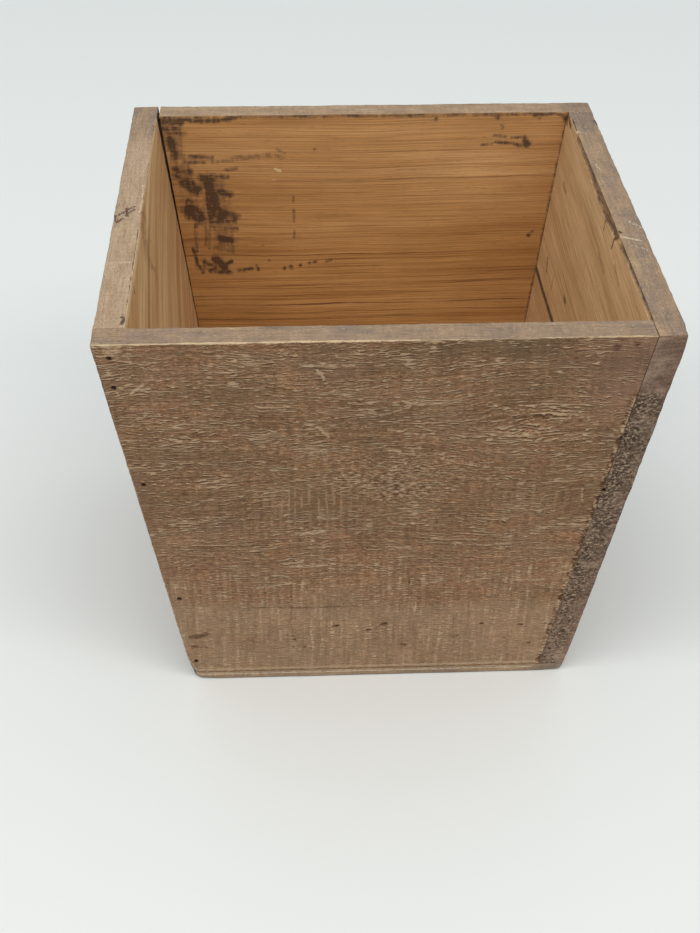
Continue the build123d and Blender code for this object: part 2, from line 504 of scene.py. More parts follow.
def front_look(place, facing):
    """The front wall as the photograph shows it."""
    u, v, w = place["u"], place["v"], place["w"]
    outside = facing[OUTER] > ON_FACE

    # The grain opens out on the right, and the saw's ripples show in patches
    spread = 5.5 * smooth((u + 12) / 62) * (1 - 0.6 * smooth((u - 50) / 60))
    eye = spread * np.tanh((v - 160) / 13) * hill(v, 160, 40)
    flow = wavy(u, v, 51) - eye + noise(u / 17, v / 9, 53)
    ripple = 1.5 * blob(u, v, -31, 118.5, 17, 8.5) + 0.35 * blob(u, v, -20, 104, 70, 9)
    ripple += 0.4 * blob(u, v, 62, 118, 20, 10)
    ripple += 0.4 * smooth((96 - v) / 40) * smooth(0.6 + noise(u / 30, v / 30, 54))
    ripple = np.clip(ripple, 0, 1)
    inward, grain, marks = surface(place, 7, flow, 0.4 * flow, ripple, 0.5)

    # A dip in the rim and a frayed right end
    inward[EDGE] += 0.6 * blob(u, w, 36, 0, 20, 7)
    frayed = smooth((3.4 - place["to_right"]) / 1.8) * smooth((180 - v) / 6)
    bits = noise(u / 1.3, v / 1.9, 57) + 0.5 * noise(u / 0.9, v / 0.9, 61)
    inward[OUTER] += 0.6 * frayed * smooth((bits + 0.1) / 0.5)

    # Scuffs and spots, a rough patch across the middle, painted shade just under the rim and between the
    # chips of the frayed end, and lines along the edges
    rough = (0.82 + 0.25 * noise(u / 12, v / 6.5, 62)) * blob(u, v, 12, 134, 82, 28)
    rough += 0.3 * blob(u, v, -5, 124, 30, 12)
    spots = paint(u, v, FRONT_DARK, outside) * (1 - 0.05 * smooth((60 - v) / 10))
    shade_under_rim = stripe(v, 203.6, 0.8) * (0.35 + 0.45 * noise(u / 9, v / 20, 60)) * outside
    lay(marks, DARK, spots, shade_under_rim, frayed * (0.62 + 0.2 * bits), 0.6 * rough * outside)
    lay(marks, DARK, 0.8 * stripe(v, 5.2, 0.5) * outside)
    fibres = short_strokes(58, 14, (-115, -94, 186, 202), 6.0, 0.6, 0.95)
    specks = short_strokes(59, 90, (-88, 84, 12, 84), 2.2, 0.7, 0.75)
    rubbed = blob(u, v, -110, 204, 9, 3) + 0.52 * blob(u, v, -105, 194, 13, 8)
    lay(marks, PALE, paint(u, v, FRONT_PALE + fibres + specks, outside), rubbed * outside)
    lay(marks, PALE, 0.76 * rough * outside, frayed * (0.74 - 0.2 * bits))
    lay(marks, PALE, 1.1 * stripe(v, 7.0, 0.9) * outside)
    marks[:, TORN] = np.where(outside, ripple, 0.4)

    # Duller below the rim, and smoother and paler towards the foot
    tone = 0.5 - 0.2 * blob(u, v, 30, 199, 42, 12) - 0.1 * blob(u, v, -30, 192, 70, 7)
    tone -= 0.1 * blob(u, v, -45, 160, 60, 12)
    tone += 0.14 * smooth((105 - v) / 40) + (0.12 + 0.04 * smooth(u / 40)) * smooth((57 - v) / 13)
    tone += 0.07 * noise(u / 30, v / 12, 55) * (1 + smooth((v - 90) / 20))
    rim_tone = 0.45 + 0.1 * noise(u / 20, w / 8, 56) - 0.12 * (facing[EDGE] > ON_FACE)
    marks[:, TONE] = np.where(outside, tone, rim_tone)

    # A dull bloom at the upper right and down the left end, which only this board has
    bloom = smooth((34 - place["to_right"]) / 26) * smooth((v - 150) / 30)
    bloom += 0.4 * smooth((10 - place["to_left"]) / 8) * smooth((165 - v) / 25) * smooth((v - 50) / 40)
    grain["bloom"] = bloom * outside
    return inward, grain, marks


def back_look(place, facing):
    """The back wall, with the stains on its inner face."""
    u, v, w = place["u"], place["v"], place["w"]
    inside = facing[INNER] > ON_FACE
    flow = 1.6 * noise(u / 120, v / 60, 71) + 0.5 * noise(u / 40, v / 20, 72)
    ripple = 0.35 * smooth(0.5 + noise(u / 50, v / 26, 74))
    inward, grain, marks = surface(place, 14, flow, flow, ripple, 0.8)
    # Painted shade along the inner corner and just under the rim
    corner = 0.65 * stripe(u + half_width(v), WALL_RUN, 0.9, 1.6)
    shade_under_rim = stripe(v, 204.7, 1.1) * (0.6 + 0.3 * noise(u / 6, v, 76))
    lay(marks, DARK, paint(-u, v, BACK_STAINS, inside), inside * corner, inside * shade_under_rim)
    lay(marks, PALE, paint(-u, v, BACK_PALE, inside))
    marks[:, TORN] = ripple * facing[OUTER] + 0.8 * facing[END]
    rim_tone = 0.6 - 0.45 * smooth((-100 - u) / 4) + 0.15 * noise(u / 30, w / 9, 77)
    wall_tone = 0.2 * smooth((v - 120) / 85) + 0.08 * noise(u / 60, v / 30, 78)
    marks[:, TONE] = np.where(inside, wall_tone, np.where(facing[EDGE] > ON_FACE, rim_tone, 0.5))
    return inward, grain, marks


def left_look(place, facing):
    """The left wall, whose inner grain falls towards the front, more steeply lower down."""
    u, v, w = place["u"], place["v"], place["w"]
    inside = facing[INNER] > ON_FACE
    top = facing[EDGE] > ON_FACE
    ripple = 0.35 * smooth(0.4 + noise(u / 50, v / 26, 83))
    inner_flow = (0.2 + 0.003 * (205 - v)) * u + 1.5 * noise(u / 90, v / 50, 84)
    inward, grain, marks = surface(place, 15, wavy(u, v, 81), inner_flow, ripple, 0.6)
    at_edge = stripe(w, 12.4, 0.6, 1.4) * top * smooth((u + 85) / 15)
    lay(marks, DARK, 0.88 * paint(u, w, LEFT_RIM_DARK, top), 0.88 * paint(-u, v, LEFT_WALL_DARK, inside))
    lay(marks, DARK, at_edge * (0.5 + 0.25 * noise(u / 4, w, 86)))
    bright = inside * smooth((v - 200.5) / 2.5) * smooth((u - 12) / 8)
    lay(marks, PALE, paint(u, w, LEFT_RIM_PALE, top), 0.85 * bright)
    strand = noise((v + inner_flow) / 7, u / 90, 87) + 0.7 * noise((v + inner_flow) / 2.2, u / 70, 88)
    wash = inside * np.clip(0.1 + (0.3 + 0.25 * smooth(u / 70)) * strand, 0, 0.6)
    marks[:, TORN] = ripple * facing[OUTER] + 0.6 * facing[END] + wash
    rim_tone = 0.86 - 0.5 * smooth((-50 - u) / 40) + 0.2 * noise(u / 22, w / 6, 85)
    wall_tone = 0.97 - 0.26 * smooth((-strand - 0.1) / 0.6) - 0.1 * smooth((-20 - u) / 60)
    marks[:, TONE] = np.where(inside, wall_tone, np.where(top, rim_tone, 0.5))
    return inward, grain, marks


def right_look(place, facing):
    """Either board of the right wall, whose inner upper edge is broken."""
    u, v, w = place["u"], place["v"], place["w"]
    inside = facing[INNER] > ON_FACE
    top = facing[EDGE] > ON_FACE
    ripple = 0.35 * smooth(0.4 + noise(u / 50, v / 26, 93))
    inner_flow = -0.05 * u + 1.2 * noise(u / 70, v / 40, 94)
    rough = smooth((179 - v) / 6) * (0.55 + 0.45 * smooth((w - 3) / 4 + noise(v / 12, w / 5, 95)))
    inward, grain, marks = surface(place, 16, wavy(u, v, 91), inner_flow, ripple, rough)

    # The broken edge, deepest a little behind the middle, with painted shade over it and darker painted
    # shade along its border
    jag = 0.5 * noise(u / 9, v / 40, 97) + 0.2 * noise(u / 2.6, v / 40, 98)
    chipped = 2.2 + 3.0 * hill(u, 4, 40) + jag
    ledge = smooth((79 - u) / 4) * smooth((u + 106) / 3) * (1 - 0.8 * hill(u, -34, 3))
    over = np.where(inside, v - BOX_HEIGHT + chipped, w - WALL_RUN + 0.5 + 0.6 * jag)
    broken = ledge * (inside | top) * smooth(over / 0.7)
    ledge_shade_border = ledge * inside * np.maximum(hill(over, 0.7, 0.9), smooth((v - 204.2) / 0.8))
    inward[INNER] += 1.1 * broken * inside

    # The shade of the open joint, widest inside and weaker on the end and the outer face
    seam = np.exp(-(((v - JOINT_HEIGHT - 0.7) / (1.2 + 0.6 * inside)) ** 4))
    seam = seam * (1 - 0.75 * facing[END]) * (1 - 0.6 * facing[OUTER])
    lay(marks, DARK, paint(u, w, RIGHT_RIM_DARK, top), paint(u, v, RIGHT_WALL_DARK, inside))
    # Painted shade on the broken edge and along its border, and the shade of the joint
    lay(marks, DARK, 0.66 * broken, 0.9 * ledge_shade_border, seam)
    lay(marks, PALE, paint(u, w, RIGHT_RIM_PALE, top))
    marks[:, TORN] = ripple * facing[OUTER] + rough * facing[END] + 0.09 * facing[INNER]
    rim_tone = 0.35 - 0.3 * smooth((u - 85) / 4) + 0.2 * noise(u / 22, w / 6, 96)
    end_tone = 0.5 - 0.16 * hill(v, 155, 26) + 0.51 * smooth((75 - v) / 45)
    side_tone = np.where(facing[END] > 0.3, end_tone, 0.5)
    marks[:, TONE] = np.where(inside, 1.0, np.where(top, rim_tone, side_tone))
    return inward, grain, marks


# Marks are brush strokes: width and strength, then points along the board and up it.
# Those on the upper edges go along the board and in from its outer face.
FRONT_DARK = (
    (0.8, 0.75, -59, 51, -34, 50, -11, 50.5), (0.8, 0.7, -94, 92, -70, 91.5, -51, 92.5),
    (0.9, 0.62, -41.5, 66, -41.8, 44, -41, 22), (1.1, 0.9, -35.6, 22.5), (1, 0.8, -40.2, 27.8),
    (1, 0.85, -22.3, 36.5, -19.5, 37.2), (1.1, 0.95, 0.2, 37.1, 2.5, 37.6),
    (1.2, 0.9, -6.5, 33.1, -5, 33.4), (1.2, 0.9, -0.9, 78.3), (1, 0.85, 35.3, 69.1),
    (1, 0.9, 46.9, 36.2, 48.2, 36.4), (1.1, 0.85, 36.5, 27.9), (1.1, 0.85, 10.1, 22.3, 12, 22.1),
    (1, 0.8, 19.6, 23.4), (1.1, 0.9, 65, 34.8, 66.5, 34.5), (1.1, 0.85, 58.6, 25.6),
    (1, 0.85, 70.5, 21.4, 71.5, 21.4), (1.2, 0.9, 77.7, 35), (1, 0.85, 12.2, 65.9),
    (1.9, 0.8, -88.5, 31.1, -84.5, 31.6, -81.8, 33), (1.7, 0.75, -88.5, 23.8, -86.5, 24.4),
    (1.4, 0.7, -84, 23.6, -82, 23.8), (2.4, 0.8, 88.7, 200.1), (1.8, 0.8, 96.5, 201.5),
    (0.8, 0.6, 79.3, 123.5, 80.4, 113.8), (0.8, 0.55, 79.3, 124, 85, 125),
)
FRONT_PALE = (
    (0.8, 1.12, -29.4, 191, -26.6, 187), (0.6, 0.9, -28, 191, -26.2, 188.6),
    (0.6, 0.85, -30.2, 189, -27.2, 187.8), (0.6, 0.9, -31.2, 161.6, -27.4, 160.2),
    (0.8, 1.15, -29.2, 161.4, -24.8, 155.6), (0.6, 0.85, -27.2, 161.8, -27, 157),
    (0.6, 0.8, -26.4, 158.4, -23.2, 157.4), (0.7, 1.35, -103.4, 180.8, -98.4, 185.2),
    (0.55, 1.2, -105.4, 184.9, -101.9, 185.9), (0.55, 1.2, -99.4, 182.6, -97, 181.8),
    (0.9, 1.1, -110.2, 204.6, -107.4, 201.6), (0.6, 1, -115, 199.8, -108.4, 200.3),
    (1, 0.9, 84.3, 123, 85.2, 115.5), (0.9, 0.95, -57, 64.2, -41.1, 67),
    (0.9, 0.95, -41.8, 77.7, -25.2, 78.5), (0.9, 0.95, -39.3, 98.8, -27, 99.7),
    (0.9, 0.95, 19.5, 65, 27.7, 66.7), (0.9, 0.9, 36.4, 65.7, 47.8, 67.4),
    (0.9, 0.9, 55.2, 65.8, 73.6, 65.8), (0.9, 0.85, 68.6, 79.3, 83, 80.2),
    (0.9, 0.95, -36.1, 193.7, -14.4, 193.3), (0.8, 0.75, -106.6, 151.7, -70, 150.3, -36.6, 149.9),
    (0.8, 0.75, -108.9, 144.5, -70.1, 142.3), (1, 1, 5.4, 174, 12, 172.2, 20.5, 172.6),
    (0.9, 0.9, -3.8, 166.7, 8.3, 170.8), (0.9, 0.95, -0.3, 159, 15.2, 155.3),
    (1.1, 0.95, -1.2, 147.8, 5, 146.8), (0.9, 0.85, 10, 145.6, 15, 144), (0.9, 0.9, 22.1, 142.5, 28, 140.6),
    (0.8, 0.85, 33, 138.6, 43.7, 137),
)
BACK_STAINS = (
    (5, 0.46, -100.5, 200.5, -96, 188, -94, 180), (5, 0.38, -93, 171, -88, 155),
    (6.5, 0.44, -79, 172, -74, 153, -73, 139), (3.5, 0.44, -86, 127, -74, 125),
    (2.4, 0.95, -101.9, 203.3, -93.3, 202.6), (4.1, 0.75, -99.7, 199.8, -95.4, 196.9),
    (2.8, 0.9, -98.4, 193.9, -96.8, 184.7),
    (1.2, 0.9, -92, 203.5, -83.4, 202.7, -75.4, 202.9, -65.4, 203.9),
    (1.2, 0.8, -89.6, 184.6, -77.5, 183.8), (0.9, 0.7, -89.7, 181.6, -81.7, 181.3),
    (1.7, 0.42, -77.7, 181.6, -62.8, 183.4, -49.3, 184.6, -41.2, 183.9),
    (2.2, 0.85, -96.7, 177.9, -90, 176.4), (1.4, 0.8, -97.5, 174.9, -92.8, 173.4),
    (3.5, 1, -91.9, 170.7, -86.7, 167), (2.2, 0.95, -83.4, 173.3, -78.1, 171.9),
    (1, 0.8, -79.3, 174.9, -70.1, 173.7), (3.2, 1, -80.8, 170.1, -77.2, 159.6),
    (1.8, 0.9, -74.9, 166.3, -69.1, 164.3), (1.1, 0.65, -71.1, 177.6, -65.7, 178.1),
    (0.9, 0.85, -92.5, 159.8, -91.4, 162.3, -89.2, 160.5), (4.1, 1, -90.5, 156.4, -86, 152.7),
    (1.6, 0.9, -81.1, 164.6, -80, 151.2), (3.8, 1, -78.4, 157.5, -74.8, 153.2),
    (2.3, 0.9, -73.3, 155.1, -66.6, 152.7), (1.2, 0.8, -80.4, 150.2, -66.7, 149.6),
    (1.4, 0.7, -77.8, 146.6, -66.8, 145.9), (2, 0.95, -76.3, 141.1, -69.8, 139.6),
    (1.4, 0.55, -78.2, 136.1, -68.6, 133.8), (0.9, 0.65, -88, 148.5, -88, 134.1),
    (0.9, 0.6, -82.5, 156.9, -83, 136.9), (0.8, 0.6, -80.4, 149.8, -81.3, 135.5),
    (0.9, 0.55, -69.5, 148.2, -68.6, 135.3), (1, 0.9, -90, 135.6, -87.5, 126.1, -85.1, 122.1),
    (1.5, 0.95, -84.1, 127.9, -78.7, 125.2), (2.6, 1, -78.5, 129.3, -74.2, 124.9),
    (1.2, 0.9, -73.1, 126.3, -69.9, 128), (1.2, 0.9, -81.5, 123.1, -70.4, 121.9),
    (1.1, 0.95, -66.2, 123.1, -59.2, 123.8), (0.8, 0.8, -56.4, 125.6, -55.6, 123.1),
    (0.9, 0.75, -49.9, 128.4), (1, 0.9, -41.7, 123.9), (1, 0.9, -38.5, 124.9, -38, 123.4),
    (1, 0.85, -33.3, 125.3), (0.8, 0.7, -28.7, 126.5, -24.8, 127.3),
    (0.9, 0.75, -19.3, 127.1, -17.2, 128.1), (0.8, 0.6, -36.6, 162.6, -36.5, 160.2),
    (0.8, 0.8, -36.3, 155.5, -36.4, 149.2), (0.8, 0.6, -36.1, 144.9, -36.6, 139.7),
    (0.9, 0.55, -44.5, 187.9, -42.2, 186.8), (1, 0.55, -40.5, 185.7), (0.9, 0.5, -25, 187.7),
    (0.9, 0.5, -52.9, 136.5), (0.9, 0.75, 67.4, 193.6, 73.1, 193.2), (0.9, 0.8, 76.6, 192.6, 82.5, 192.7),
    (1.8, 1, 82.9, 192, 84.6, 189.1), (0.8, 0.7, 61.2, 189.1, 66.3, 189.3),
    (0.9, 0.85, 68.2, 190.3, 75.3, 189.7, 81.3, 188.5), (0.9, 0.8, 79.6, 188.5, 85, 188.4),
    (1.2, 0.7, 36.9, 202.3), (1.5, 0.8, 68.3, 203.3), (1.1, 0.85, 87.1, 204.1, 94.1, 204.3),
    (1.1, 0.75, 90.1, 202.4), (1.1, 0.85, 99.7, 204.2, 102.6, 203.4), (1.6, 0.95, 103.8, 202, 104.9, 200.3),
    (0.8, 0.7, 70.9, 199.1, 71.5, 197.3), (1.1, 0.85, 88, 140.2), (0.8, 0.6, 90.1, 142.3),
)
BACK_PALE = (
    (0.9, 1.05, -45.7, 177.5, -43, 176.6), (0.7, 0.6, -50.9, 172.6, -41.5, 171.6),
    (0.9, 0.6, -91.4, 200.8, -91, 198.8),
)
LEFT_RIM_DARK = (
    (1, 0.85, 8, 1, 2.2, 5.2, -2.8, 8.9), (1.1, 0.9, 13.2, 2.2, 9.6, 4.4), (1, 0.85, 6.4, 5.6, 0.5, 9.1),
    (0.9, 0.8, 6.2, 1.1, 13.2, 2), (1, 0.9, -0.8, 5.6, 7.2, 6.5),
    (1, 0.95, 95.9, 11.1, 98.3, 12.2, 102, 11), (0.7, 0.7, 93.4, 11.3, 96.5, 11.9),
    (0.6, 0.55, -14, 1.5, -12, 5, -17, 10.1),
)
LEFT_RIM_PALE = (
    (0.7, 0.8, 50.4, 6.4, 49.8, 11.8), (0.8, 0.6, -24.5, 11.4, -6.8, 11.7, 8.3, 11.4),
)
LEFT_WALL_DARK = (
    (8.5, 0.42, 2, 206, -8, 199, -16, 191), (5, 0.36, -16, 191, -11, 184),
    (0.9, 0.55, -16.8, 190, -7.5, 179.9, -3.8, 172.1), (0.8, 0.6, -12.7, 182.7, -3.5, 176.7),
    (0.8, 0.5, -0.8, 190.7, 2, 187.2), (1, 0.9, -65.5, 201.4, -65.9, 199.9),
)
RIGHT_RIM_DARK = (
    (0.9, 1, -28.7, 11.6, -30, 11.3), (1, 0.55, -12.9, 9.1, -13, 5.8), (0.6, 0.55, -73, 11.6, -75.2, 8.9),
    (0.8, 0.9, 94, 1.2, 87.4, 0.6), (0.8, 0.8, 94.1, 12.4, 81.6, 12.6),
)
RIGHT_RIM_PALE = (
    (0.8, 0.9, -33.5, 11.9, -37.3, 3.9), (1.6, 0.6, -19.2, 5.3, -25.5, 1),
    (1.2, 0.6, -40.6, 10, -45.4, 3.3), (0.8, 0.7, 80, 12.9, 76.8, 8.4), (1, 0.55, 41.5, 9.7, 33.1, 8.8),
)
RIGHT_WALL_DARK = (
    (1.5, 1, 103.6, 205, 101.5, 200.8), (1.3, 0.85, 100, 204.6, 95.5, 202.8, 92.5, 202.4),
    (0.8, 0.8, -5.4, 205.3, -7.1, 201.5, -8.4, 195.9),
    (0.8, 0.85, -33.3, 205.3, -27.4, 201.2, -27.2, 196.8), (1.2, 0.7, 75, 137.6, 70.8, 131.8),
    (1, 0.5, 54.7, 138.3, 54.1, 130.7), (1, 0.9, 27, 141.5, 22.1, 140.8),
    (1.5, 0.45, 80.5, 177.6, 71.6, 176.9), (1.2, 0.4, -10, 185.2, -24.9, 183.6),
    (1.1, 0.4, -38.4, 194, -50.5, 191.4),
)


class Shader:
    """A material under construction: where the grain is at a point, its colour so far, and its nodes."""

    def __init__(self, name, layer=None):
        self.material = bpy.data.materials.new(name)
        self.material.use_nodes = True
        self.nodes = self.material.node_tree.nodes
        self.nodes.clear()
        self.place = self.attribute(layer, "Vector") if layer else None
        self.colour = None

    def node(self, kind, values, **settings):
        """A node with its settings, and with its inputs set to values or to other nodes' outputs."""
        node = self.nodes.new("ShaderNode" + kind)
        for name, value in settings.items():
            setattr(node, name, value)
        for name, value in values.items():
            if isinstance(value, bpy.types.NodeSocket):
                self.material.node_tree.links.new(value, node.inputs[name])
            else:
                node.inputs[name].default_value = value
        return node

    def attribute(self, name, output="Fac"):
        """A layer that is stored on the mesh."""
        return self.node("Attribute", {}, attribute_name=name).outputs[output]

    def marks(self):
        """The painted layers: dark, pale, torn and tone."""
        colour = self.attribute("marks", "Color")
        return [*self.node("SeparateColor", {0: colour}).outputs, self.attribute("marks", "Alpha")]

    def math(self, operation, first, second=0.0, third=0.0):
        return self.node("Math", {0: first, 1: second, 2: third}, operation=operation).outputs[0]

    def times(self, first, second):
        return self.math("MULTIPLY", first, second)

    def most(self, first, second):
        return self.math("MAXIMUM", first, second)

    def about(self, value, middle, spread):
        """A value that lies about a half, turned into one that lies about another middle."""
        return self.math("MULTIPLY_ADD", value, 2 * spread, middle - spread)

    def sum(self, *values):
        total = values[0]
        for value in values[1:]:
            total = self.math("ADD", total, value)
        return total

    def raised(self, amount):
        """The place, moved across the grain."""
        shift = self.node("CombineXYZ", {1: amount}).outputs[0]
        return self.node("VectorMath", {0: self.place, 1: shift}, operation="ADD").outputs[0]

    def noise(self, sizes, detail=2.0, roughness=0.5, rise=0.0):
        """Noise about a half, with bumps of the given sizes in millimetres."""
        place = self.raised(rise) if rise else self.place
        by = [1 / s for s in sizes]
        vector = self.node("VectorMath", {0: place, 1: by}, operation="MULTIPLY").outputs[0]
        values = {"Vector": vector, "Scale": 1.0, "Detail": detail, "Roughness": roughness}
        return self.node("TexNoise", values).outputs[0]

    def step(self, value, low, high, start=0.0, end=1.0):
        """A soft step of a value between two levels."""
        values = {"Value": value, "From Min": low, "From Max": high, "To Min": start, "To Max": end}
        return self.node("MapRange", values, interpolation_type="SMOOTHSTEP").outputs[0]

    def ramp(self, value, *stops):
        """A colour for each level of a value, from stops of a level and three colour values."""
        node = self.node("ValToRGB", {"Fac": value})
        elements = node.color_ramp.elements
        while len(elements) < len(stops):
            elements.new(0.5)
        for element, (level, *colour) in zip(elements, stops):
            element.position = level
            element.color = srgb(*colour)
        return node.outputs[0]

    def mix(self, share, other):
        """Let a share of another colour into the colour so far."""
        values = {0: share, 6: self.colour, 7: other}
        self.colour = self.node("Mix", values, data_type="RGBA").outputs[2]

    def cover(self, share, red, green, blue):
        self.mix(share, srgb(red, green, blue))

    def brighten(self, factor):
        values = {0: self.colour, 3: factor}
        self.colour = self.node("VectorMath", values, operation="SCALE").outputs[0]

    def finish(self, height, depth, roughness, specular, metallic=0.0):
        """The surface itself, with its bump in metres."""
        bump = self.node("Bump", {"Height": height, "Distance": depth, "Strength": 1.0})
        values = {"Base Color": self.colour, "Roughness": roughness, "Normal": bump.outputs[0]}
        values.update({"Specular IOR Level": specular, "Metallic": metallic})
        surface = self.node("BsdfPrincipled", values)
        self.node("OutputMaterial", {"Surface": surface.outputs[0]})
        return self.material


def lifted_fibres_highlight_and_shade(s, sizes, low, high, more, drop):
    """Pale lifted fibres, partly a painted highlight, and the painted shade just below each of them."""
    shares = [s.step(s.sum(s.noise(sizes, 2, 0.55, rise), more), low, high) for rise in (0, drop)]
    lifted_and_highlight, above = shares
    return lifted_and_highlight, s.times(above, s.math("SUBTRACT", 1, lifted_and_highlight))


def sawn_wood():
    """Sawn, weathered outside faces: torn fibres over the marks of the saw."""
    s = Shader("sawn_wood", "fibre")
    dark, pale, ripple, tone = s.marks()
    bloom = s.attribute("bloom")
    s.place = s.raised(s.about(s.noise((9, 4, 6)), 0, 1))
    patches = s.noise((24, 8, 20))
    streaks = s.noise((34, 0.9, 4), 3, 0.6)
    flakes = s.noise((3, 0.62, 2.5), 3, 0.6)
    crumbs = s.noise((1, 0.5, 1), 2, 0.6)
    bands = s.noise((2.2, 20, 9), 2, 0.6)
    wide_bands = s.noise((9, 60, 20), 2, 0.6)
    clouds = s.noise((45, 28, 20))
    mottle = s.noise((8, 3.2, 6), 3, 0.6)

    # The lower part of the front is smoother, and so are the parts with a bloom
    smoothed = s.most(s.step(tone, 0.55, 0.72), bloom)
    banded = s.times(s.about(bands, 0, 0.34), s.step(tone, 0.52, 0.7))
    more = s.sum(s.about(patches, -0.005, 0.19), s.times(smoothed, -0.04), banded)
    long_lifted_and_highlight, long_shade = lifted_fibres_highlight_and_shade(s, (5, 0.74, 3), 0.57, 0.61, more, 0.42)
    ridge_and_highlight, ridge_shade = lifted_fibres_highlight_and_shade(s, (20, 0.62, 5), 0.6, 0.64, more, 0.4)

    long_streaks = s.times(s.about(streaks, 0, 0.35), s.step(tone, 0.55, 0.7, 1, 0.4))
    relief = s.sum(s.about(flakes, 0.5, 0.5), s.about(crumbs, 0, 0.25), long_streaks)
    s.colour = s.ramp(
        relief, (0.28, 93, 64, 43), (0.42, 115, 83, 57), (0.52, 133, 98, 70), (0.62, 149, 113, 83),
        (0.72, 178, 143, 111),
    )
    s.cover(s.step(clouds, 0.52, 0.68, 0, 0.2), 128, 104, 90)
    s.cover(s.step(tone, 0.47, 0.2, 0, 0.5), 106, 91, 66)
    s.cover(s.step(tone, 0.62, 0.76, 0, 0.42), 140, 118, 94)
    s.cover(s.times(bloom, 0.5), 126, 98, 82)
    columns = s.times(s.step(tone, 0.55, 0.72), s.step(mottle, 0.4, 0.6))
    columns = s.times(s.step(bands, 0.55, 0.66), columns)
    s.cover(s.times(columns, 0.4), 170, 141, 112)
    ribbed = s.step(tone, 0.55, 0.72, 0.72, 1.3)
    ribs = s.times(s.sum(s.about(bands, 0, 0.5), s.about(wide_bands, 0, 0.2)), ribbed)
    s.brighten(s.sum(s.about(mottle, 1.03, 0.22), ribs, s.about(tone, 0, 0.5)))
    # Painted shade just below the lifted fibres, then the pale fibres, which are partly a painted highlight
    shade = s.most(s.times(long_shade, 0.8), s.times(ridge_shade, 0.7))
    s.cover(s.times(shade, s.step(tone, 0.6, 0.75, 1, 0.6)), 70, 48, 33)
    lifted_and_highlight = s.most(s.times(long_lifted_and_highlight, 0.7), s.times(ridge_and_highlight, 0.6))
    s.cover(lifted_and_highlight, 190, 160, 127)

    # Bars left by the saw's teeth
    along = s.node("SeparateXYZ", {0: s.place}).outputs[0]
    uneven = s.about(s.noise((11, 90, 9)), 0, 5)
    phase = s.sum(s.times(along, 2 * math.pi / SAW_PITCH), uneven)
    bars = s.times(s.step(s.math("SINE", phase), 0.1, 0.75), ripple)
    bars = s.times(bars, s.step(s.noise((2.5, 9, 4), 3), 0.4, 0.52))
    s.cover(s.times(s.step(ripple, 0.5, 1), 0.35), 124, 90, 60)
    s.cover(s.times(bars, 0.55), 168, 138, 108)

    # Painted marks with torn borders, and rubbed edges
    torn = s.noise((2.8, 0.7, 1), 3, 0.7)
    pale = s.sum(pale, s.about(torn, 0, 1.1))
    s.cover(s.step(pale, 0.68, 1, 0, 0.62), 196, 168, 136)
    dark = s.sum(dark, s.about(torn, 0, -0.8))
    s.cover(s.step(dark, 0.45, 0.7, 0, 0.5), 108, 70, 42)
    s.cover(s.step(dark, 0.58, 0.95, 0, 0.85), 62, 38, 22)
    rubbed = s.step(s.times(s.attribute("worn"), s.about(crumbs, 1, 1.2)), 0.3, 0.9)
    s.cover(s.times(rubbed, 0.8), 226, 198, 158)
    height = s.sum(s.times(lifted_and_highlight, 0.5), s.times(relief, 1.2), s.times(bars, 0.3))
    return s.finish(height, 0.0005, 0.85, 0.2)


# Thin dark growth lines that run along the back wall: height, half width and strength
GROWTH_LINES = (
    (186.5, 0.4, 0.3), (178.5, 0.4, 0.35), (172, 0.45, 0.6), (163, 0.4, 0.3), (151, 0.4, 0.3),
    (141, 0.4, 0.35), (132, 0.4, 0.7), (115, 0.45, 0.6), (109.5, 0.4, 0.4), (104, 0.6, 0.75),
    (99.5, 0.4, 0.45), (96, 0.5, 0.6),
)


